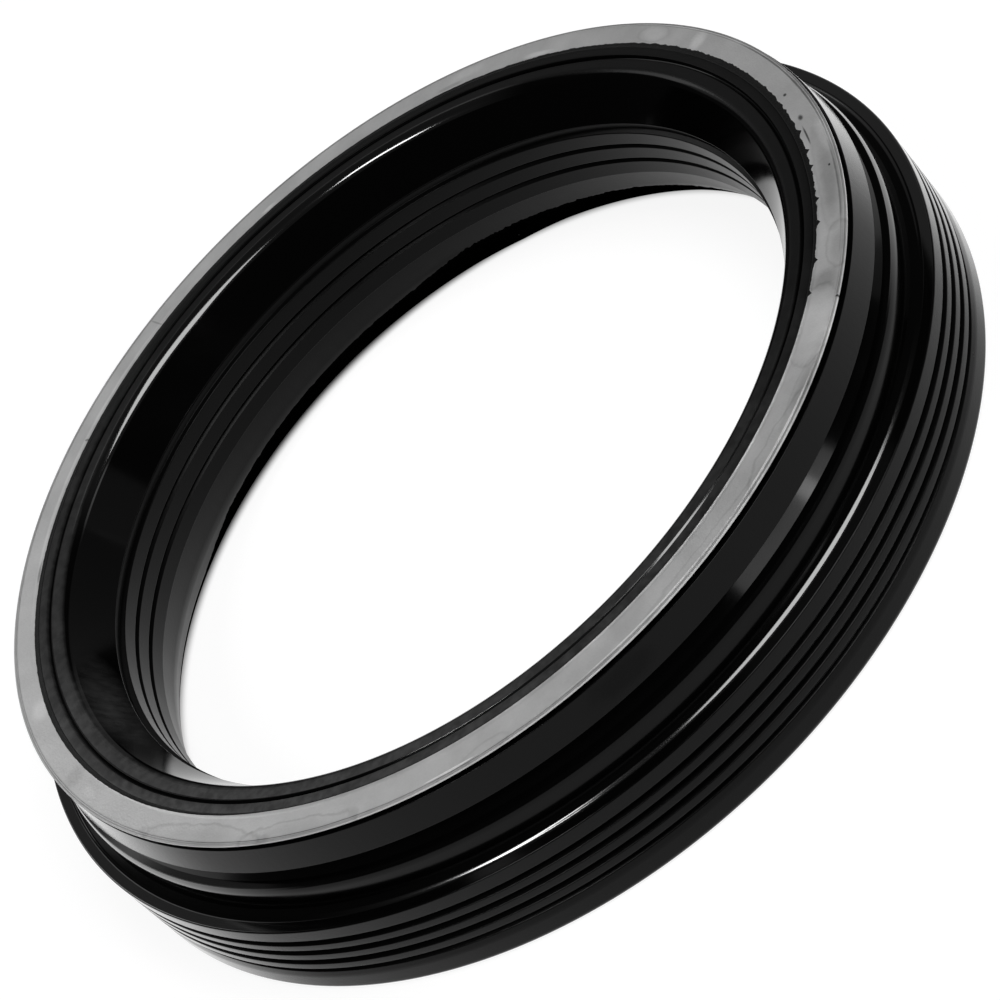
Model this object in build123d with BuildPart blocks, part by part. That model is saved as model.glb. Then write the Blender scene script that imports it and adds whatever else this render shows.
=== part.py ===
import os

from build123d import *

# Unitised wheel-hub shaft seal, in millimetres.
# Z is the seal's axis. Z = 0 is the oil-side end, and the metal face looks up, at the air side.
# The inner member (sleeve, lining, retainer) grips the shaft.
# The outer member (case, jacket, garter spring) grips the hub and turns round the inner one.

# Seats that the seal is pressed on and into
shaft_d = 120.0
section_w = 20.0         # shaft seat out to the hub seat
bore_grip = 0.15         # lands stand this far inside the shaft seat, on the radius
wall_grip = 0.15         # ribs stand this far outside the hub seat, on the radius

# Heights above the oil-side end
face_h = 29.7            # metal face
shoulder_h = 15.5        # ledge between the ribbed wall and the neck

# Sleeve: pressed steel, a running surface with a wide flange
lining_wall = 6.1        # shaft seat out to the sleeve
sleeve_sheet = 0.4
sleeve_bend = 2.9
sleeve_foot_h = 2.4
flange_w = 8.05          # flange's rim past the running surface

# Lining: rubber bonded inside the sleeve and over the flange's inner edge
bead_reach = 2.95        # raised bead's outer side past the running surface
bead_w = 1.4
bead_rise = 0.25
mouth_flare = 4.9        # mouth outside the shaft seat
mouth_round = 0.3
lead_depth = 7.3         # cone from the mouth down to the throat
relief_w = 1.55          # shallow step between the cone and the first land
relief_depth = 0.3
land_depth = 0.55
land_w = 2.7
land_gap = 0.65
land_count = 3
skirt_end_h = 5.7
skirt_flare = 1.4
skirt_round = 3.0
lining_foot_h = 1.5
foot_flare = 2.3
foot_round = 3.0

# Retainer: pressed steel angle ring that keeps the two members together
retainer_sheet = 0.8
retainer_bend = 1.2
retainer_grip = 3.8      # height of the leg pressed on the sleeve
retainer_h = 2.6

# Case: pressed steel, stepped from the hub seat in to the neck
case_sheet = 1.2
case_bend = 1.8
case_foot_h = 1.6
wall_rubber = 1.7        # rubber under the ribs' roots
shoulder_rubber = 1.6    # rubber over the case's step
lip_room = 5.1           # running surface out to the case's neck
web_reach = 2.2          # inward web past the neck's inner side
web_cover = 1.25         # collar's top above the web

# Jacket: rubber bonded on the case, with ribs, neck, heel and foot
rib_depth = 0.9
rib_pitch = 2.46
groove_w = 1.15
groove_flank = 0.3
groove_count = 4
base_band_h = 4.55       # plain band below the lowest groove
base_taper_h = 1.0
base_taper = 0.25
base_round = 1.2
shoulder_round = 0.5
waist_h = 2.28           # hollow between the ledge and the neck's bead
waist_depth = 1.2
waist_round = 0.8
bead_step = 0.5          # neck's bead inside the ledge's root
neck_flare = 1.9         # neck's bead outside the collar's top edge
bead_h = 2.5
bead_draft = 0.35
hollow_h = 3.3           # hollow between the bead and the collar
hollow_depth = 1.7
hollow_round = 1.0
collar_overhang = 0.15   # collar's top edge past the flange's rim
collar_draft = 0.77
collar_w = 2.0
web_skin = 0.5           # rubber over the web
heel_w = 1.7             # rubber round the web's inner edge
heel_h = 1.8             # rubber under the web
heel_wrap = 0.7
foot_skin = 1.0          # rubber inside the case's foot
foot_cover_h = 6.0
bumper_w = 2.4           # stop ring over the retainer
bumper_slope = 0.8

# Lips and garter spring
face_lip_set = 0.8       # face lip's root outside the web's inner edge
face_lip_root = 0.8
face_lip_lean = 0.9
face_lip_tip = 0.4
dust_lip_root = 1.0
dust_lip_rise = 0.45
dust_lip_tip = 0.35
lip_h = 18.1             # edge of the sprung lip
lip_slope_h = 3.3        # edge up to the membrane
lip_sheet = 1.5          # membrane between the head and the heel
lip_nose_h = 2.5         # edge down to the head's foot
lip_nose_w = 2.2
head_w = 3.9
head_h = 4.1
head_fade_h = 1.1
coil_d = 2.0             # garter spring's closed coil
coil_bury = 0.7          # coil's centre inside the head's back
coil_drop = 0.25         # coil's centre below the lip's edge

# Clearances
flange_gap = 0.65        # flange over the collar
lip_gap = 0.3            # lips off the sleeve
bumper_gap = 0.3         # bumper over the retainer
retainer_gap = 1.4       # retainer's rim inside the foot
coil_gap = 0.05          # coil in its seat

# Inner member, worked out from the sizes above
shaft_r = shaft_d / 2
bore_crest_r = shaft_r - bore_grip
bore_root_r = bore_crest_r + land_depth
relief_r = bore_root_r + relief_depth
run_r = shaft_r + lining_wall + sleeve_sheet
sleeve_mid_r = run_r - sleeve_sheet / 2
flange_r = run_r + flange_w
flange_mid_h = face_h - sleeve_sheet / 2
lining_bead_r = run_r + bead_reach
throat_h = face_h - lead_depth
lands_top_h = throat_h - relief_w
skirt_r = bore_root_r + skirt_flare

# Outer member
wall_crest_r = shaft_r + section_w + wall_grip
wall_root_r = wall_crest_r - rib_depth
case_neck_r = run_r + lip_room + case_sheet / 2
case_seat_r = wall_root_r - wall_rubber - case_sheet / 2
case_step_h = shoulder_h - shoulder_rubber - case_sheet / 2
collar_h = face_h - sleeve_sheet - flange_gap
case_web_h = collar_h - web_cover - case_sheet / 2
web_in_r = run_r + lip_room - web_reach
wrap_r = web_in_r + heel_wrap
foot_in_r = case_seat_r - case_sheet / 2 - foot_skin
retainer_top_h = retainer_h + retainer_sheet
case_fold = min(case_bend, 0.45 * (case_seat_r - case_neck_r), 0.9 * (case_neck_r - wrap_r))

# Neck of the jacket
collar_r = flange_r + collar_overhang
neck_bead_r = collar_r + neck_flare
ledge_r = neck_bead_r + bead_step
waist_end_h = shoulder_h + waist_h
bead_end_h = waist_end_h + bead_h
collar_foot_h = bead_end_h + hollow_h

# Lips
lip_r = run_r + lip_gap
face_lip_r = web_in_r + face_lip_set
face_lip_h = face_h - sleeve_sheet - lip_gap
dust_lip_h = flange_mid_h - sleeve_bend
membrane_in_r = web_in_r - heel_w
membrane_out_r = membrane_in_r + lip_sheet
web_top_h = case_web_h + case_sheet / 2 + web_skin
web_under_h = case_web_h - case_sheet / 2
head_r = lip_r + head_w
head_foot_h = lip_h - lip_nose_h
head_top_h = head_foot_h + head_h
coil_seat = (head_r - coil_bury, lip_h - coil_drop)


def outline(*corners):
    # Closed outline through corners given as radius, height and rounding
    places = [(radius, height) for radius, height, rounding in corners]
    roundings = [rounding for radius, height, rounding in corners]
    FilletPolyline(*places, radius=roundings, close=True)


def land_corners():
    # Lands of the bore from the top one down, each with a narrow vee below it
    corners = []
    top = lands_top_h
    for land in range(land_count):
        foot = top - land_w
        corners.append((bore_crest_r, top, 0))
        corners.append((bore_crest_r, foot, 0))
        corners.append((bore_root_r, foot - land_gap / 2, 0))
        top = foot - land_gap
    return corners


def groove_corners():
    # Grooves between the ribs from the lowest one up
    corners = []
    for groove in range(groove_count):
        low = base_band_h + groove * rib_pitch
        high = low + groove_w
        if groove == 0:
            corners.append((wall_crest_r - base_taper, low, 0))
        else:
            corners.append((wall_crest_r, low, 0))
        corners.append((wall_root_r, low + groove_flank, 0))
        corners.append((wall_root_r, high - groove_flank, 0))
        corners.append((wall_crest_r, high, 0))
    return corners


with BuildPart() as sleeve:
    with BuildSketch(Plane.XZ) as sleeve_section:
        with BuildLine():
            FilletPolyline(
                (sleeve_mid_r, sleeve_foot_h),
                (sleeve_mid_r, flange_mid_h),
                (flange_r, flange_mid_h),
                radius=sleeve_bend,
            )
        trace(line_width=sleeve_sheet)
    revolve(axis=Axis.Z)
sleeve.part.label = "sleeve"

with BuildPart() as lining:
    with BuildSketch(Plane.XZ):
        with BuildLine():
            outline(
                # Raised bead on the flange, and the flat inside it
                (lining_bead_r, flange_mid_h, 0),
                (lining_bead_r, face_h + bead_rise, 0),
                (lining_bead_r - bead_w, face_h + bead_rise, 0),
                (lining_bead_r - bead_w, face_h, 0),
                # Mouth, throat and relief
                (shaft_r + mouth_flare, face_h, mouth_round),
                (bore_root_r, throat_h, 0),
                (relief_r, throat_h - relief_depth, 0),
                (relief_r, lands_top_h + relief_depth, 0),
                *land_corners(),
                # Skirt, and the foot under the sleeve's end
                (skirt_r, skirt_end_h, skirt_round),
                (skirt_r + foot_flare, lining_foot_h, foot_round),
                (run_r, lining_foot_h, 0),
                (run_r, sleeve_foot_h, 0),
                # Back up the middle of the sleeve's sheet, which is then cut away
                (sleeve_mid_r, sleeve_foot_h, 0),
                (sleeve_mid_r, flange_mid_h, sleeve_bend),
            )
        make_face()
        add(sleeve_section.sketch_local, mode=Mode.SUBTRACT)
    revolve(axis=Axis.Z)
lining.part.label = "lining"

with BuildPart() as retainer:
    with BuildSketch(Plane.XZ):
        with BuildLine():
            FilletPolyline(
                (run_r + retainer_sheet / 2, retainer_h + retainer_sheet / 2 + retainer_grip),
                (run_r + retainer_sheet / 2, retainer_h + retainer_sheet / 2),
                (foot_in_r - retainer_gap, retainer_h + retainer_sheet / 2),
                radius=retainer_bend,
            )
        trace(line_width=retainer_sheet)
    revolve(axis=Axis.Z)
retainer.part.label = "retainer"

with BuildPart() as case:
    with BuildSketch(Plane.XZ) as case_section:
        with BuildLine():
            FilletPolyline(
                (web_in_r, case_web_h),
                (case_neck_r, case_web_h),
                (case_neck_r, case_step_h),
                (case_seat_r, case_step_h),
                (case_seat_r, case_foot_h),
                radius=case_fold,
            )
        trace(line_width=case_sheet)
    revolve(axis=Axis.Z)
case.part.label = "case"

with BuildPart() as jacket:
    with BuildSketch(Plane.XZ):
        with BuildLine():
            outline(
                # Foot and ribbed wall
                (foot_in_r, 0, 0),
                (wall_crest_r, 0, base_round),
                (wall_crest_r, base_band_h - base_taper_h, 0),
                *groove_corners(),
                (wall_crest_r, shoulder_h, shoulder_round),
                (ledge_r, shoulder_h, 0),
                # Waist, bead and hollow of the neck, then the collar
                (ledge_r - waist_depth, shoulder_h + waist_h / 2, waist_round),
                (neck_bead_r, waist_end_h, 0),
                (neck_bead_r - bead_draft, bead_end_h, 0),
                (neck_bead_r - bead_draft - hollow_depth, bead_end_h + hollow_h / 2, hollow_round),
                (collar_r + collar_draft, collar_foot_h, 0),
                (collar_r, collar_h, 0),
                (collar_r - collar_w, collar_h, 0),
                (collar_r - collar_w, web_top_h, 0),
                # Face lip, heel and dust lip
                (face_lip_r + face_lip_root, web_top_h, 0),
                (face_lip_r + face_lip_lean + face_lip_tip, face_lip_h, 0),
                (face_lip_r + face_lip_lean, face_lip_h, 0),
                (face_lip_r, web_top_h, 0),
                (membrane_in_r, web_top_h, 0),
                (membrane_in_r, dust_lip_h - dust_lip_rise, 0),
                (lip_r, dust_lip_h, 0),
                (lip_r, dust_lip_h - dust_lip_tip, 0),
                (membrane_in_r, dust_lip_h - dust_lip_rise - dust_lip_root, 0),
                # Sprung lip's membrane and head
                (membrane_in_r, lip_h + lip_slope_h, 0),
                (lip_r, lip_h, 0),
                (lip_r + lip_nose_w, head_foot_h, 0),
                (head_r, head_foot_h, 0),
                (head_r, head_top_h, 0),
                (membrane_out_r, head_top_h + head_fade_h, 0),
                (membrane_out_r, web_under_h - heel_h, 0),
                (wrap_r, web_under_h, 0),
                # Back along the middle of the case's sheet, which is then cut away
                (wrap_r, case_web_h, 0),
                (case_neck_r, case_web_h, case_fold),
                (case_neck_r, case_step_h, case_fold),
                (case_seat_r, case_step_h, case_fold),
                (case_seat_r, foot_cover_h, 0),
                # Skin inside the foot, with the bumper
                (foot_in_r, foot_cover_h, 0),
                (foot_in_r - bumper_w, foot_cover_h - bumper_slope, 0),
                (foot_in_r - bumper_w, retainer_top_h + bumper_gap, 0),
                (foot_in_r, retainer_top_h + bumper_gap, 0),
            )
        make_face()
        add(case_section.sketch_local, mode=Mode.SUBTRACT)
        with Locations(coil_seat):
            Circle(coil_d / 2 + coil_gap, mode=Mode.SUBTRACT)
    revolve(axis=Axis.Z)
jacket.part.label = "jacket"

with BuildPart() as garter_spring:
    with BuildSketch(Plane.XZ):
        with Locations(coil_seat):
            Circle(coil_d / 2)
    revolve(axis=Axis.Z)
garter_spring.part.label = "garter_spring"

os.makedirs("parts", exist_ok=True)
for piece in (sleeve, lining, retainer, case, jacket, garter_spring):
    export_step(piece.part, f"parts/{piece.part.label}.step")
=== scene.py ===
import math
import bmesh
import bpy
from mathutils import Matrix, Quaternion, Vector, noise


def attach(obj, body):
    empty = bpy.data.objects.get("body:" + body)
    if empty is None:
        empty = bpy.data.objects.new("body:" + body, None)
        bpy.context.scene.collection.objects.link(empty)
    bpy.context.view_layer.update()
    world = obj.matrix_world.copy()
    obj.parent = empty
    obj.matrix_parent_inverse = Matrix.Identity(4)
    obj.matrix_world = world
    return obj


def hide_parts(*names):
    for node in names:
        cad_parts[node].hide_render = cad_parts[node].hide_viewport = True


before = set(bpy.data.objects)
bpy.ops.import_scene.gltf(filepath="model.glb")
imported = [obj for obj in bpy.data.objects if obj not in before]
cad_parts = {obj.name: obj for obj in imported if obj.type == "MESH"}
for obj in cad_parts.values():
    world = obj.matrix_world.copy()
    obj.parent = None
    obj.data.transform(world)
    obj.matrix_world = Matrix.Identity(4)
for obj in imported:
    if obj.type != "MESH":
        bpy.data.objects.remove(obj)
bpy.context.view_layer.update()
scene = bpy.context.scene
mm = 0.001

cameraView = {
    "place": (-0.0002, -0.427768, 0.315682),
    "target": (0.000361, -0.032137, 0.0295),
    "roll": -44.36,  # degrees about the line of sight
    "lens": 126.0,
}


def makeCamera(view):
    data = bpy.data.cameras.new("camera")
    data.lens = view["lens"]
    data.sensor_width = 36.0
    data.clip_start = 0.01
    camera = bpy.data.objects.new("camera", data)
    place = Vector(view["place"])
    look = (Vector(view["target"]) - place).to_track_quat("-Z", "Y")
    camera.location = place
    camera.rotation_mode = "QUATERNION"
    camera.rotation_quaternion = look @ Quaternion((0, 0, 1), math.radians(view["roll"]))
    scene.collection.objects.link(camera)
    scene.camera = camera


makeCamera(cameraView)
print("camera placed")


# Shader helpers

def startMaterial(name):
    material = bpy.data.materials.new(name)
    material.use_nodes = True
    tree = material.node_tree
    surface = tree.nodes["Principled BSDF"]
    return material, tree, surface


def addNode(tree, kind, place=(0, 0), **settings):
    node = tree.nodes.new(kind)
    node.location = place
    for setting, value in settings.items():
        setattr(node, setting, value)
    return node


def calc(tree, operation, first, second=None, third=None, clamp=False):
    # One Math node; each entry is a socket or a number
    node = addNode(tree, "ShaderNodeMath", operation=operation, use_clamp=clamp)
    for slot, entry in enumerate((first, second, third)):
        if entry is None:
            continue
        if isinstance(entry, (int, float)):
            node.inputs[slot].default_value = entry
        else:
            tree.links.new(entry, node.inputs[slot])
    return node.outputs[0]


def remap(tree, value, low, high, newLow=0.0, newHigh=1.0):
    node = addNode(tree, "ShaderNodeMapRange", interpolation_type="SMOOTHSTEP")
    tree.links.new(value, node.inputs["Value"])
    for socket, number in zip(("From Min", "From Max", "To Min", "To Max"), (low, high, newLow, newHigh)):
        node.inputs[socket].default_value = number
    return node.outputs["Result"]


def objectPlace(tree, stretch=(1, 1, 1)):
    # Object coordinates, stretched by a Mapping node
    coordinates = addNode(tree, "ShaderNodeTexCoord")
    mapping = addNode(tree, "ShaderNodeMapping")
    mapping.inputs["Scale"].default_value = stretch
    tree.links.new(coordinates.outputs["Object"], mapping.inputs["Vector"])
    return mapping.outputs["Vector"]


def noiseOf(tree, vector, scale, detail, roughness):
    node = addNode(tree, "ShaderNodeTexNoise")
    tree.links.new(vector, node.inputs["Vector"])
    node.inputs["Scale"].default_value = scale
    node.inputs["Detail"].default_value = detail
    node.inputs["Roughness"].default_value = roughness
    return node.outputs["Fac"]


def bumpInto(tree, surface, height, strength, distance):
    bump = addNode(tree, "ShaderNodeBump")
    bump.inputs["Strength"].default_value = strength
    bump.inputs["Distance"].default_value = distance
    tree.links.new(height, bump.inputs["Height"])
    tree.links.new(bump.outputs["Normal"], surface.inputs["Normal"])


def greyOf(tree, value):
    # A value carried into a colour socket
    node = addNode(tree, "ShaderNodeCombineColor")
    for channel in ("Red", "Green", "Blue"):
        tree.links.new(value, node.inputs[channel])
    return node.outputs["Color"]


def makeGroup(name, inputs, outputs):
    # Shader node group; returns its tree with the sockets that feed it and that it feeds
    group = bpy.data.node_groups.new(name, "ShaderNodeTree")
    for label, value in inputs.items():
        kind = "NodeSocketVector" if value is None else "NodeSocketFloat"
        socket = group.interface.new_socket(name=label, in_out="INPUT", socket_type=kind)
        if value is not None:
            socket.default_value = value
    for label in outputs:
        group.interface.new_socket(name=label, in_out="OUTPUT", socket_type="NodeSocketFloat")
    start = addNode(group, "NodeGroupInput", (-900, 0))
    end = addNode(group, "NodeGroupOutput", (900, 0))
    return group, start.outputs, end.inputs


def placeGroup(tree, group, values):
    node = addNode(tree, "ShaderNodeGroup", node_tree=group)
    for label, value in values.items():
        if isinstance(value, (int, float)):
            node.inputs[label].default_value = value
        else:
            tree.links.new(value, node.inputs[label])
    return node.outputs


def makePolarGroup():
    # Object coordinates as degrees round the axis, and millimetres out from it and up
    group, given, result = makeGroup("polar_place", {"Place": None}, ("Turn", "Reach", "Height"))
    parts = addNode(group, "ShaderNodeSeparateXYZ")
    group.links.new(given["Place"], parts.inputs[0])
    x, y, z = parts.outputs
    turn = calc(group, "MULTIPLY", calc(group, "ARCTAN2", y, x), 180 / math.pi)
    group.links.new(calc(group, "WRAP", turn, 360.0, 0.0), result["Turn"])
    squares = calc(group, "ADD", calc(group, "MULTIPLY", x, x), calc(group, "MULTIPLY", y, y))
    group.links.new(calc(group, "MULTIPLY", calc(group, "SQRT", squares), 1000.0), result["Reach"])
    group.links.new(calc(group, "MULTIPLY", z, 1000.0), result["Height"])
    return group


def makeGrainGroup():
    # Slow clouds and fine grain, each swinging either side of nought
    inputs = {"Place": None, "Cloud Scale": 160.0, "Grain Scale": 3200.0}
    group, given, result = makeGroup("cloud_and_grain", inputs, ("Cloud", "Grain"))
    for label, scale, detail in (("Cloud", "Cloud Scale", 3.0), ("Grain", "Grain Scale", 2.0)):
        value = noiseOf(group, given["Place"], 1.0, detail, 0.6)
        group.links.new(given[scale], value.node.inputs["Scale"])
        group.links.new(calc(group, "SUBTRACT", value, 0.5), result[label])
    return group


def makeMarkGroup():
    # One oval mark on the surface: how far inside it a point is, and its outline
    inputs = {"Turn": 0.0, "Across": 0.0, "Waver": 0.0, "Middle Turn": 0.0, "Middle Across": 0.0,
              "Half Turn": 1.0, "Half Across": 1.0, "Softness": 0.6, "Line Width": 0.1}
    group, given, result = makeGroup("oval_mark", inputs, ("Fill", "Line"))
    aside = calc(group, "WRAP", calc(group, "SUBTRACT", given["Turn"], given["Middle Turn"]), 180.0, -180.0)
    aside = calc(group, "DIVIDE", aside, given["Half Turn"])
    above = calc(group, "SUBTRACT", given["Across"], given["Middle Across"])
    above = calc(group, "DIVIDE", above, given["Half Across"])
    squares = calc(group, "ADD", calc(group, "MULTIPLY", aside, aside), calc(group, "MULTIPLY", above, above))
    away = calc(group, "ADD", calc(group, "SQRT", squares), given["Waver"])
    inside = calc(group, "SUBTRACT", 1.0, away)
    fill = calc(group, "DIVIDE", inside, given["Softness"], clamp=True)
    group.links.new(calc(group, "SMOOTH_MIN", fill, 1.0, 0.3), result["Fill"])
    line = calc(group, "DIVIDE", calc(group, "ABSOLUTE", inside), given["Line Width"])
    group.links.new(calc(group, "SUBTRACT", 1.0, line, clamp=True), result["Line"])
    return group


polarGroup = makePolarGroup()
grainGroup = makeGrainGroup()
markGroup = makeMarkGroup()
markLine = 0.28  # width of a mark's outline, in millimetres


def addMarks(tree, turn, across, waver, marks, softness=0.6):
    # Sum of a list of marks: (turn, across, half turn, half across, fill, line)
    total = None
    for middle, level, halfTurn, halfAcross, fill, line in marks:
        outputs = placeGroup(tree, markGroup, {
            "Turn": turn, "Across": across, "Waver": waver,
            "Middle Turn": middle, "Middle Across": level,
            "Half Turn": halfTurn, "Half Across": halfAcross,
            "Line Width": markLine / halfAcross, "Softness": softness,
        })
        own = calc(tree, "MULTIPLY", outputs["Fill"], fill)
        if line:
            own = calc(tree, "SUBTRACT", own, calc(tree, "MULTIPLY", outputs["Line"], line))
        total = own if total is None else calc(tree, "ADD", total, own)
    return total


def bandOf(tree, value, low, high, soft):
    # 1 between low and high, fading over soft on both sides
    rise = remap(tree, value, low - soft, low)
    fall = remap(tree, value, high, high + soft, 1.0, 0.0)
    return calc(tree, "MULTIPLY", rise, fall)


def bandRound(tree, turn, start, stop, fade):
    # 1 between two turns about the axis, fading on both sides and across nought
    half = (stop - start) / 2
    aside = calc(tree, "WRAP", calc(tree, "SUBTRACT", turn, start + half), 180.0, -180.0)
    return bandOf(tree, aside, -half, half, fade)


rubberRelief = 0.0002  # depth of the rubber's grain, in metres
zoneBlend = 0.15  # half the height over which one zone of roughness turns into the next, in millimetres


def addRoughness(tree, surface, look, polar, grain):
    # Zones are (lowest height, roughness) upwards
    rough = look["zones"][0][1]
    for (low, own), (_, last) in zip(look["zones"][1:], look["zones"]):
        step = remap(tree, polar["Height"], low - zoneBlend, low + zoneBlend)
        rough = calc(tree, "ADD", calc(tree, "MULTIPLY", step, own - last), rough)
    rough = calc(tree, "ADD", rough, calc(tree, "MULTIPLY", grain["Cloud"], look["cloud"]))
    if look.get("marks"):
        dull = addMarks(tree, polar["Turn"], polar["Height"], grain["Cloud"], look["marks"])
        rough = calc(tree, "ADD", rough, dull)
    if look.get("glossy"):
        across, low, high, soft, own = look["glossy"]
        inBand = bandOf(tree, polar[across], low, high, soft)
        change = calc(tree, "MULTIPLY", inBand, calc(tree, "SUBTRACT", own, rough))
        rough = calc(tree, "ADD", rough, change)
    tree.links.new(rough, surface.inputs["Roughness"])


def addPolish(tree, surface, look, polar):
    # Bright bands on the polished radii: (across, low, high, softness, first turn, last turn)
    surface.inputs["Coat IOR"].default_value = look["polishIor"]
    surface.inputs["Coat Roughness"].default_value = look["polishRoughness"]
    polish = 0.0
    for across, low, high, soft, start, stop in look["polish"]:
        band = bandOf(tree, polar[across], low, high, soft)
        around = bandRound(tree, polar["Turn"], start, stop, look["polishFade"])
        polish = calc(tree, "MAXIMUM", calc(tree, "MULTIPLY", band, around), polish)
    tree.links.new(polish, surface.inputs["Coat Weight"])


def addPaintedSheen(tree, surface, look, polar, grain):
    # Painted sheen: lighter grey added to the colour in listed patches, drawn up and down like the mould's
    # lines, and wiped out of the groove
    drawn = noiseOf(tree, objectPlace(tree, (1, 1, 0.08)), 700, 2, 0.6)
    waver = calc(tree, "MULTIPLY", grain["Cloud"], 0.3)
    cover = addMarks(tree, polar["Turn"], polar["Height"], waver, look["paintedSheen"], 1.0)
    cover = calc(tree, "MULTIPLY", cover, remap(tree, drawn, 0.25, 0.75, 0.6, 1.3))
    low, high = look["paintedSheenSkip"]
    groove = bandOf(tree, polar["Reach"], low, high, 0.06)
    cover = calc(tree, "MULTIPLY", cover, calc(tree, "SUBTRACT", 1.0, groove))
    tree.links.new(greyOf(tree, calc(tree, "ADD", cover, look["tone"])), surface.inputs["Base Color"])


def addRelief(tree, surface, look, polar, grain):
    heights = grain["Grain"]
    if look.get("streaks"):
        # Fine lines drawn up the collar by the mould
        streak = calc(tree, "SUBTRACT", noiseOf(tree, objectPlace(tree, (1, 1, 0.04)), 1500, 3, 0.6), 0.5)
        low, high = look["streaksFrom"]
        streak = calc(tree, "MULTIPLY", streak, remap(tree, polar["Height"], low, high))
        heights = calc(tree, "ADD", heights, calc(tree, "MULTIPLY", streak, look["streaks"]))
    if look.get("smooth"):
        low, high = look["smooth"]
        grained = calc(tree, "SUBTRACT", 1.0, bandOf(tree, polar["Height"], low, high, 0.2))
        heights = calc(tree, "MULTIPLY", heights, grained)
    bumpInto(tree, surface, heights, look["grain"], rubberRelief)


def makeRubber(name, look):
    material, tree, surface = startMaterial(name)
    surface.inputs["Base Color"].default_value = (look["tone"], look["tone"], look["tone"], 1)
    surface.inputs["IOR"].default_value = look["ior"]
    place = objectPlace(tree)
    polar = placeGroup(tree, polarGroup, {"Place": place})
    grain = placeGroup(tree, grainGroup, {"Place": place})
    addRoughness(tree, surface, look, polar, grain)
    if look.get("polish"):
        addPolish(tree, surface, look, polar)
    if look.get("paintedSheen"):
        addPaintedSheen(tree, surface, look, polar, grain)
    addRelief(tree, surface, look, polar, grain)
    return material


def makeFlangeSteel(name, look):
    material, tree, surface = startMaterial(name)
    surface.inputs["Metallic"].default_value = 1.0
    place = objectPlace(tree)
    polar = placeGroup(tree, polarGroup, {"Place": place})
    grain = placeGroup(tree, grainGroup, {"Place": place, "Cloud Scale": 130.0, "Grain Scale": 2600.0})
    tone = calc(tree, "ADD", look["tone"], calc(tree, "MULTIPLY", grain["Cloud"], look["swing"]))
    tone = calc(tree, "ADD", tone, calc(tree, "MULTIPLY", grain["Grain"], look["fineSwing"]))
    rough = calc(tree, "ADD", look["roughness"], calc(tree, "MULTIPLY", grain["Cloud"], look["roughSwing"]))
    if look.get("marks"):
        waver = calc(tree, "SUBTRACT", noiseOf(tree, place, 190, 3, 0.55), 0.5)
        # Stains, with painted glints along the rim among them
        stainsAndGlints = addMarks(tree, polar["Turn"], polar["Reach"], waver, look["marks"])
        tone = calc(tree, "ADD", tone, stainsAndGlints)
        # Painted shade along the scored line round the rim, and a painted darker strip on the edge outside it
        ragged = calc(tree, "ADD", polar["Reach"], calc(tree, "MULTIPLY", waver, 0.12))
        first, last = look["scoreShadeReach"]
        scoreShade = calc(tree, "MULTIPLY", bandOf(tree, ragged, first, last, 0.07), look["scoreShade"])
        rimStripShade = calc(tree, "MULTIPLY", remap(tree, ragged, last, look["rimStripShadeReach"]), look["rimStripShade"])
        tone = calc(tree, "SUBTRACT", calc(tree, "SUBTRACT", tone, scoreShade), rimStripShade)
        tone = calc(tree, "MAXIMUM", tone, 0.02)
    tree.links.new(greyOf(tree, tone), surface.inputs["Base Color"])
    tree.links.new(rough, surface.inputs["Roughness"])
    bumpInto(tree, surface, grain["Grain"], 0.2, 0.00015)
    return material


sharpAngle = math.radians(40)  # folds steeper than this stay crisp
smallRadius = 0.2  # a softness under this gets two steps only, in millimetres
innerSlack = -0.2  # loose play of the turning member, in millimetres


def ringFrom(name, shape):
    # Closed section of (radius, height, softness) corners in millimetres, softened and spun about Z
    mesh = bmesh.new()
    places = [(radius * mm, 0, height * mm) for radius, height, softness in shape["corners"]]
    spots = [mesh.verts.new(place) for place in places]
    for here, after in zip(spots, spots[1:] + spots[:1]):
        mesh.edges.new((here, after))
    softnesses = [softness for radius, height, softness in shape["corners"]]
    for softness in sorted(set(softnesses)):
        if softness:
            chosen = [spot for spot, own in zip(spots, softnesses) if own == softness]
            count = 2 if softness < smallRadius else shape["steps"]
            bmesh.ops.bevel(mesh, geom=chosen, offset=softness * mm, offset_type="OFFSET", segments=count,
                            profile=0.5, affect="VERTICES", material=-1, clamp_overlap=False)
    outline = mesh.verts[:] + mesh.edges[:]
    centre = (shape.get("slack", 0) * mm, 0, 0)
    bmesh.ops.translate(mesh, verts=mesh.verts, vec=centre)
    bmesh.ops.spin(mesh, geom=outline, cent=centre, axis=(0, 0, 1),
                   angle=math.tau, steps=shape["turns"], use_merge=True, use_duplicate=False)
    bmesh.ops.remove_doubles(mesh, verts=mesh.verts, dist=1e-7)
    bmesh.ops.recalc_face_normals(mesh, faces=mesh.faces)
    data = bpy.data.meshes.new(name)
    mesh.to_mesh(data)
    mesh.free()
    data.shade_smooth()
    data.set_sharp_from_angle(angle=sharpAngle)
    piece = bpy.data.objects.new(name, data)
    scene.collection.objects.link(piece)
    weighted = piece.modifiers.new("flat faces", "WEIGHTED_NORMAL")
    weighted.weight = 100
    weighted.keep_sharp = True
    print(name, len(data.polygons), "faces")
    return piece


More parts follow.
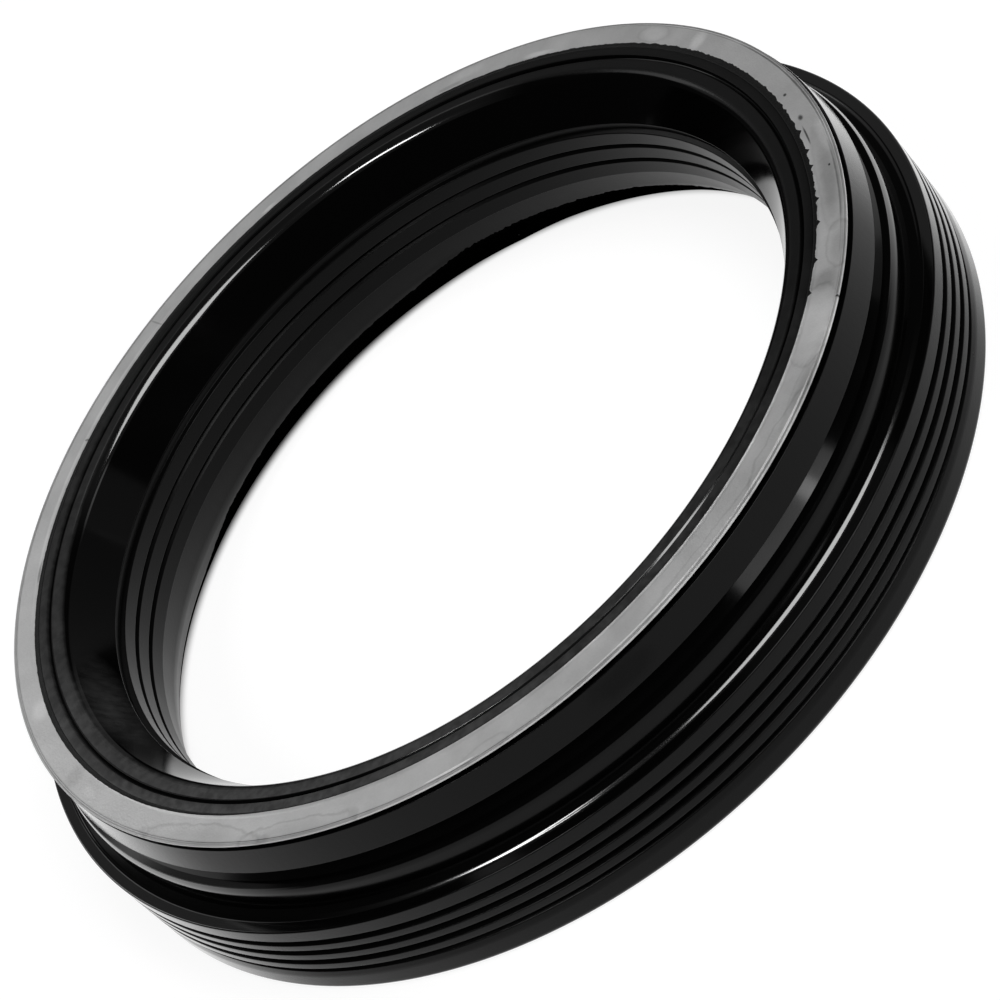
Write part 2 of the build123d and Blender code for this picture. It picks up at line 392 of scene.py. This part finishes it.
jacketShape = {
    "turns": 360,
    "steps": 6,
    "corners": [
        # Foot and ribbed wall
        (75.35, 0.0, 0.3), (80.15, 0.0, 1.2), (80.15, 3.55, 0.3), (79.9, 4.55, 0.12),
        (79.25, 4.85, 0.15), (79.25, 5.4, 0.15), (80.15, 5.7, 0.14),
        (80.15, 7.01, 0.14), (79.25, 7.31, 0.15), (79.25, 7.86, 0.15), (80.15, 8.16, 0.14),
        (80.15, 9.47, 0.14), (79.25, 9.77, 0.15), (79.25, 10.32, 0.15), (80.15, 10.62, 0.14),
        (80.15, 11.93, 0.14), (79.25, 12.23, 0.15), (79.25, 12.78, 0.15), (80.15, 13.08, 0.14),
        (80.15, 15.5, 0.25), (78.25, 15.5, 0.22),
        # Root, bead and hollow of the neck, then the collar
        (77.85, 15.86, 0.15), (76.72, 16.25, 0),
        (76.5, 19.6, 0.25), (76.36, 20.1, 0.25), (76.1, 20.6, 0),
        (75.0, 20.92, 0), (73.69, 23.1, 0.15), (74.3, 23.5, 0.1),
        (75.47, 23.58, 0.3), (74.72, 28.5, 0.1), (72.7, 28.5, 0.1), (72.7, 27.9, 0.1),
        # Face lip, heel and dust lip
        (71.0, 27.9, 0.1), (71.5, 29.0, 0.08), (71.1, 29.0, 0.08), (70.2, 27.9, 0.1), (67.7, 27.9, 0.3),
        (67.7, 26.15, 0.15), (66.8, 26.6, 0.06), (66.8, 26.25, 0.06), (67.7, 25.15, 0.15),
        # Sprung lip and its spring seat
        (67.7, 21.4, 0.3), (66.8, 18.1, 0.08), (69.0, 15.6, 0.1), (70.7, 15.6, 0.1), (70.7, 16.8, 0.08),
        (68.95, 16.8, 1.04), (68.95, 18.9, 1.04), (70.7, 18.9, 0.08), (70.7, 19.7, 0.1), (69.2, 20.8, 0.2),
        (69.2, 24.4, 0.3),
        # Along the case's sheet
        (70.1, 26.2, 0), (69.4, 26.2, 0), (69.4, 27.4, 0), (72.8, 27.4, 2.4), (72.8, 13.9, 1.2),
        (77.55, 13.9, 2.4), (77.55, 1.6, 0), (76.35, 1.6, 0), (76.35, 6.0, 0.1),
        # Skin inside the foot, with the bumper
        (75.35, 6.0, 0.1), (72.95, 5.2, 0.15), (72.95, 3.7, 0.15), (75.35, 3.7, 0.15),
    ],
    "look": {
        "tone": 0.0009, "ior": 1.22,
        "zones": [(0, 0.26), (15.4, 0.11), (23.4, 0.2)], "cloud": 0.08,
        "marks": [(267, 26.5, 5.5, 3.0, 0.35, 0)],
        "polishIor": 1.8, "polishRoughness": 0.14, "polishFade": 24,
        "polish": [
            ("Height", 15.54, 15.84, 0.05, 243, 297), ("Height", 19.6, 20.6, 0.06, 340, 360),
            ("Height", 19.6, 20.6, 0.06, 180, 200), ("Height", 23.9, 28.4, 0.1, 350, 360),
            ("Height", 23.9, 28.4, 0.1, 180, 190), ("Reach", 79.95, 80.4, 0.1, 347, 360),
            ("Reach", 79.95, 80.4, 0.1, 180, 195),
        ],
        "grain": 0.10, "smooth": (15.5, 23.2), "streaks": 1.0, "streaksFrom": (23.2, 24.2),
    },
}
jacketSkin = ringFrom("jacket_skin", jacketShape)
jacketSkin.data.materials.append(makeRubber("jacket_rubber", jacketShape["look"]))
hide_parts("jacket")
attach(jacketSkin, "outer_member")

liningShape = {
    "turns": 540,
    "steps": 6,
    "slack": innerSlack,
    "corners": [
        # Crowned bead on the flange, and the flat inside it
        (69.45, 29.7, 0), (69.45, 29.86, 0.05), (68.75, 29.95, 0.5), (67.9, 29.93, 0.1), (67.68, 29.2, 0.02),
        (67.44, 29.34, 0), (67.2, 29.73, 0.05), (66.9, 29.7, 0.1),
        # Mouth, throat and relief
        (64.75, 29.7, 1.12), (60.4, 22.4, 0.12), (60.7, 22.1, 0.1), (60.7, 21.15, 0.1),
        # Lands of the bore
        (59.85, 20.85, 0.14), (59.85, 18.3, 0.12), (60.5, 17.9, 0.05),
        (59.85, 17.4, 0.04), (59.85, 14.95, 0.12), (60.5, 14.55, 0.05),
        (59.85, 14.05, 0.04), (59.85, 11.45, 0.05), (60.4, 11.125, 0.05),
        # Skirt, and the foot under the sleeve's end
        (61.8, 5.7, 1.0), (64.1, 1.5, 1.6), (66.5, 1.5, 0.1), (66.5, 2.4, 0),
        # Back up inside the sleeve
        (66.1, 2.4, 0), (66.1, 29.7, 3.1),
    ],
    "look": {
        "tone": 0.0009, "ior": 1.18,
        "zones": [(0, 0.30), (22.3, 0.10), (29.6, 0.36)], "cloud": 0.10,
        "marks": [(70, 7.0, 7.0, 0.9, 0.2, 0)],
        "glossy": ("Reach", 67.2, 67.5, 0.05, 0.08),
        "polishIor": 1.8, "polishRoughness": 0.10, "polishFade": 12,
        "polish": [("Height", 28.6, 29.62, 0.08, 52, 132), ("Reach", 67.2, 67.44, 0.03, 246, 298)],
        # Painted sheen and reflection: a faint lighter band all round the skirt, a painted reflection of the
        # backdrop on the left of the cone, and a painted sheen over the left and near side of the flat face
        # and bead
        "paintedSheen": [
            (0, 8.0, 999, 3.0, 0.004, 0), (177, 26.0, 14, 5.0, 0.03, 0), (215, 29.83, 110, 0.6, 0.045, 0),
        ],
        "paintedSheenSkip": (67.22, 67.85),
        "grain": 0.08, "smooth": (22.4, 29.3),
    },
}
liningSkin = ringFrom("lining_skin", liningShape)
liningSkin.data.materials.append(makeRubber("lining_rubber", liningShape["look"]))
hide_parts("lining")
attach(liningSkin, "inner_member")

sleeveShape = {
    "turns": 540,
    "steps": 8,
    "slack": innerSlack,
    "corners": [
        (66.1, 2.4, 0.05), (66.1, 29.7, 3.1),
        # Upstand round the bead, its fillet, and the scored rim
        (69.46, 29.7, 0), (69.46, 29.84, 0.03), (69.6, 29.84, 0.05), (69.95, 29.7, 0.3),
        (73.75, 29.7, 0.05), (73.85, 29.72, 0.04), (74.1, 29.63, 0.05), (74.25, 29.68, 0.05),
        (74.55, 29.66, 0.06), (74.55, 29.3, 0.06), (66.5, 29.3, 2.7), (66.5, 2.4, 0.05),
    ],
    "look": {
        "tone": 0.66, "swing": 0.30, "fineSwing": 0.06, "roughness": 0.46, "roughSwing": 0.2,
        "scoreShadeReach": (74.08, 74.14), "scoreShade": 0.34, "rimStripShadeReach": 74.3, "rimStripShade": 0.14,
        "marks": [
            (13.2, 72.0, 1.3, 2.4, 0.22, 0), (21.5, 72.2, 2.6, 1.5, 0.12, 0.04),
            (40.5, 71.0, 2.6, 0.7, 0.2, 0), (84.5, 71.1, 1.6, 0.6, 0.2, 0),
            (54.5, 71.0, 2.6, 0.6, -0.16, 0), (52.5, 72.6, 2.6, 1.3, 0.10, 0),
            (105.5, 72.0, 0.16, 2.2, -0.2, 0), (127, 71.2, 30, 0.45, 0.12, 0),
            (171, 71.4, 2.1, 2.2, 0.12, 0), (186, 72.3, 1.6, 2.4, -0.10, 0),
            (190.3, 72.3, 1.7, 1.0, 0.06, 0), (212, 74.0, 9.5, 2.6, -0.09, 0.12),
            (227, 74.3, 8.6, 2.6, -0.09, 0.12), (251.5, 73.7, 3.0, 1.2, 0, 0.08),
            (283, 74.3, 9, 2.0, 0, 0.08), (296, 74.4, 7, 2.3, 0, 0.10), (302, 73.6, 4.2, 1.5, -0.14, 0.08),
            (311, 71.4, 5.6, 4.2, 0.17, 0.08), (317.6, 71.6, 2.0, 2.6, -0.16, 0),
            (331.5, 73.5, 11, 0.25, -0.3, 0), (355, 73.8, 13.5, 0.28, -0.3, 0),
            (333.5, 72.2, 8.6, 1.9, -0.2, 0.08), (322.5, 73.2, 3.4, 2.2, -0.12, 0.10),
            (341, 73.4, 4.0, 1.3, 0.14, 0), (335.5, 72.7, 0.3, 0.25, -0.5, 0),
            (314.5, 74.4, 0.2, 0.5, -0.5, 0), (342.7, 71.0, 2.3, 0.2, -0.55, 0),
            (346.2, 71.4, 0.7, 0.5, -0.55, 0), (351.8, 71.5, 0.3, 0.3, -0.55, 0),
            (124.5, 70.9, 0.25, 0.6, -0.4, 0), (146, 70.9, 2.2, 0.4, -0.3, 0),
            # Painted glints: bright lines painted along the rim where it catches the lamps
            (246.5, 73.8, 3.5, 0.22, 0.9, 0), (272, 73.8, 14, 0.16, 0.45, 0), (296, 73.8, 10, 0.2, 0.8, 0),
        ],
    },
}
sleeveSkin = ringFrom("sleeve_skin", sleeveShape)
sleeveSkin.data.materials.append(makeFlangeSteel("flange_steel", sleeveShape["look"]))
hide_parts("sleeve")
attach(sleeveSkin, "inner_member")

# Thin film of rubber squeezed over the metal beside the bead: (turn, outer radius, raggedness)
flashShape = {
    "inner": 69.4,
    "leastWidth": 0.05,
    "lift": 0.035,  # the film's thickness over the metal
    "sunk": 0.05,  # how far the film's hidden side lies inside the metal
    "face": 29.7,
    "upstand": 0.14,
    "filletEnd": 70.25,
    "filletWidth": 0.65,
    "edge": [(0, 70.5, 0.2), (50, 70.5, 0.14), (60, 70.45, 0.06), (165, 70.42, 0.06), (175, 70.35, 0.05),
             (190, 70.1, 0.05), (207, 69.8, 0.03), (222, 69.55, 0), (312, 69.55, 0), (330, 70.0, 0.18),
             (351, 70.5, 0.24), (360, 70.5, 0.2)],
    "spikes": [316, 321, 327, 331, 337, 340, 344],
    "spikeReach": 0.45,
    "spikeHalf": 0.4,
    "look": {"tone": 0.0009, "ior": 1.3, "zones": [(0, 0.45)], "cloud": 0.2, "grain": 0.35},
}
# Painted shadow: a ragged dark film round the skirt's foot, where it sits in shade: (turn, top, raggedness,
# bottom)
footShadeShape = {
    "lift": 0.03,
    "sunk": 0.4,
    "skirtReach": 61.8,
    "skirtHeight": 5.7,
    "flareBelow": 0.548,  # how far the skirt opens for each millimetre down
    "flareAbove": 0.258,
    "footHeight": 2.6,
    "footFlare": 0.25,
    "edge": [(0, 4.0, 0.2, 1.5), (34, 6.1, 0.3, 0.9), (51, 6.6, 0.35, 1.0), (59, 6.9, 0.4, 0.3),
             (66, 6.9, 0.4, 0.8), (76, 5.5, 0.2, 1.1), (90, 5.4, 0.12, 1.5), (108, 5.1, 0.12, 1.5),
             (121, 4.4, 0.2, 1.5), (132, 2.3, 0.1, 1.5), (320, 2.3, 0.1, 1.5), (360, 4.0, 0.2, 1.5)],
    "look": {"tone": 0.0006, "roughness": 0.8, "grain": 0.4},
}


def edgeAt(edge, turn):
    # Values of the edge list at this turn
    for first, second in zip(edge, edge[1:]):
        if first[0] <= turn <= second[0]:
            part = (turn - first[0]) / (second[0] - first[0])
            return [low + (high - low) * part for low, high in zip(first[1:], second[1:])]


def raggedAt(turn):
    around = Vector((math.cos(math.radians(turn)), math.sin(math.radians(turn)), 0))
    return noise.noise(around * 60) + 0.7 * noise.noise(around * 170)


def flashPlace(turn, row, under):
    # Across the upstand, its fillet and on to the flange
    outer, ragged = edgeAt(flashShape["edge"], turn)
    outer += ragged * raggedAt(turn)
    for spike in flashShape["spikes"]:
        outer += flashShape["spikeReach"] * max(0.0, 1 - abs(turn - spike) / flashShape["spikeHalf"])
    inner = flashShape["inner"]
    radius = inner + max(outer - inner, flashShape["leastWidth"]) * row
    rise = min(1.0, max(0.0, (flashShape["filletEnd"] - radius) / flashShape["filletWidth"]))
    lift = -flashShape["sunk"] if under else flashShape["lift"] * (1 if row < 0.99 else 0)
    return radius, flashShape["face"] + flashShape["upstand"] * rise * rise + lift


def footShadePlace(turn, row, under):
    # Down the skirt's flare and over its foot
    top, ragged, bottom = edgeAt(footShadeShape["edge"], turn)
    top += ragged * raggedAt(turn)
    height = top + (bottom - top) * row
    drop = footShadeShape["skirtHeight"] - height
    skirt = footShadeShape["skirtReach"] + drop * footShadeShape["flareBelow" if drop > 0 else "flareAbove"]
    skirt += max(0.0, footShadeShape["footHeight"] - height) * footShadeShape["footFlare"]
    lift = footShadeShape["sunk"] if under else -footShadeShape["lift"] * (1 if row > 0.01 else 0)
    return skirt + lift, height


def filmFrom(name, shapeAt, turns=1440, rows=8):
    # Thin closed film: a flat ring spun out, then each point set down where the shape puts it
    mesh = bmesh.new()
    corners = [mesh.verts.new((1.0 + row, 0, 0)) for row in range(rows)]
    corners += [mesh.verts.new((rows - row, 0, -1)) for row in range(rows)]
    for here, after in zip(corners, corners[1:] + corners[:1]):
        mesh.edges.new((here, after))
    bmesh.ops.spin(mesh, geom=mesh.verts[:] + mesh.edges[:], cent=(0, 0, 0), axis=(0, 0, 1),
                   angle=math.tau, steps=turns, use_merge=True, use_duplicate=False)
    bmesh.ops.remove_doubles(mesh, verts=mesh.verts, dist=1e-6)
    for spot in mesh.verts:
        angle = math.atan2(spot.co.y, spot.co.x)
        row = (math.hypot(spot.co.x, spot.co.y) - 1.0) / (rows - 1)
        radius, height = shapeAt(math.degrees(angle) % 360, row, spot.co.z < -0.5)
        along = radius * math.cos(angle) + innerSlack
        spot.co = Vector((along * mm, radius * math.sin(angle) * mm, height * mm))
    bmesh.ops.recalc_face_normals(mesh, faces=mesh.faces)
    data = bpy.data.meshes.new(name)
    mesh.to_mesh(data)
    mesh.free()
    data.shade_smooth()
    piece = bpy.data.objects.new(name, data)
    scene.collection.objects.link(piece)
    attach(piece, "inner_member")
    print(name, len(data.polygons), "faces")
    return piece


def makeShadeRubber(look):
    # Matte near-black with no gloss, a painted shadow over the skirt's foot
    material, tree, surface = startMaterial("shade_rubber")
    surface.inputs["Specular IOR Level"].default_value = 0.0
    surface.inputs["Roughness"].default_value = look["roughness"]
    grain = placeGroup(tree, grainGroup, {"Place": objectPlace(tree)})
    tone = calc(tree, "ADD", calc(tree, "MULTIPLY", grain["Cloud"], look["tone"]), look["tone"])
    tree.links.new(greyOf(tree, tone), surface.inputs["Base Color"])
    bumpInto(tree, surface, grain["Grain"], look["grain"], rubberRelief)
    return material


flash = filmFrom("rubber_flash", flashPlace)
flash.data.materials.append(makeRubber("flash_rubber", flashShape["look"]))
# Painted shadow: dark film round the skirt's foot
footShadeFilm = filmFrom("foot_shade_film", footShadePlace)
footShadeFilm.data.materials.append(makeShadeRubber(footShadeShape["look"]))

# The hidden steel keeps its solids, with a plainer finish
innerLook = {"tone": 0.38, "swing": 0.1, "fineSwing": 0.06, "roughness": 0.42, "roughSwing": 0.2}
innerSteel = makeFlangeSteel("inner_steel", innerLook)
for node in ("retainer", "case", "garter_spring"):
    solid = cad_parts[node]
    solid.data.materials.clear()
    solid.data.materials.append(innerSteel)
print("pieces made")

# Studio: each panel is aimed at the seal's middle
panels = {
    "overhead_right": {"place": (0.42, -0.46, 1.0), "size": (0.92, 0.66), "turn": 18, "glow": 5.2},
    "overhead_left": {"place": (-0.62, -0.42, 1.0), "size": (0.17, 0.5), "turn": -25, "glow": 18},
    "window": {"place": (0.707, -0.879, 0.397), "size": (0.69, 0.12), "turn": -7.5, "glow": 4.6},
    "window_core": {"place": (0.785, -0.758, 0.368), "size": (0.08, 0.12), "turn": -7.5, "glow": 13},
    "back": {"place": (-0.15, 1.08, 0.82), "size": (1.3, 0.75), "turn": 0, "glow": 0.5},
    "back_left": {"place": (-0.5, 0.95, 0.8), "size": (0.35, 0.35), "turn": 0, "glow": 2.2},
    "right_card": {"place": (1.1, -0.175, 0.385), "size": (0.36, 0.3), "turn": 0, "glow": 0.5},
    "right_back": {"place": (1.15, 0.8, 0.29), "size": (2.0, 0.56), "turn": 0, "glow": 0.28},
}


def makePanel(name, panel):
    data = bpy.data.lights.new(name, "AREA")
    data.shape = "RECTANGLE"
    data.size, data.size_y = panel["size"]
    data.energy = panel["glow"] * math.pi * data.size * data.size_y
    lamp = bpy.data.objects.new(name, data)
    place = Vector(panel["place"])
    lamp.location = place
    aim = (Vector((0, 0, 0.02)) - place).to_track_quat("-Z", "Y")
    lamp.rotation_mode = "QUATERNION"
    lamp.rotation_quaternion = aim @ Quaternion((0, 0, 1), math.radians(panel["turn"]))
    scene.collection.objects.link(lamp)


for name, panel in panels.items():
    makePanel(name, panel)

worldLevel = 0.05
world = bpy.data.worlds.new("studio")
world.use_nodes = True
world.node_tree.nodes["Background"].inputs["Color"].default_value = (1, 1, 1, 1)
world.node_tree.nodes["Background"].inputs["Strength"].default_value = worldLevel
scene.world = world

# Paint and size of the floor, and the painted shadow ring under the seal, in millimetres
floorLook = {"size": 4, "tone": 0.2, "glow": 0.86, "shadowInner": 67.0, "shadowOuter": 76.0, "shadowSoft": 3.0}


def makeFloorPaint(look):
    # White paint that shows white to camera, glossy and transmission rays, and keeps the shadow
    material, tree, surface = startMaterial("floor_paint")
    surface.inputs["Base Color"].default_value = (look["tone"], look["tone"], look["tone"], 1)
    surface.inputs["Roughness"].default_value = 0.9
    surface.inputs["Specular IOR Level"].default_value = 0.0
    path = addNode(tree, "ShaderNodeLightPath")
    seen = calc(tree, "MAXIMUM", path.outputs["Is Camera Ray"], path.outputs["Is Glossy Ray"])
    seen = calc(tree, "MAXIMUM", seen, path.outputs["Is Transmission Ray"])
    surface.inputs["Emission Strength"].default_value = 1.0
    polar = placeGroup(tree, polarGroup, {"Place": objectPlace(tree)})
    # Painted shadow: the floor's glow is taken away in a ring under the seal
    under = bandOf(tree, polar["Reach"], look["shadowInner"], look["shadowOuter"], look["shadowSoft"])
    glow = calc(tree, "MULTIPLY", calc(tree, "SUBTRACT", 1.0, under), look["glow"])
    tree.links.new(greyOf(tree, calc(tree, "MULTIPLY", seen, glow)), surface.inputs["Emission Color"])
    return material


bpy.ops.mesh.primitive_plane_add(size=floorLook["size"])
floor = bpy.context.object
floor.name = "floor"
floor.data.materials.append(makeFloorPaint(floorLook))
scene.view_settings.view_transform = "Standard"
print("studio lit")
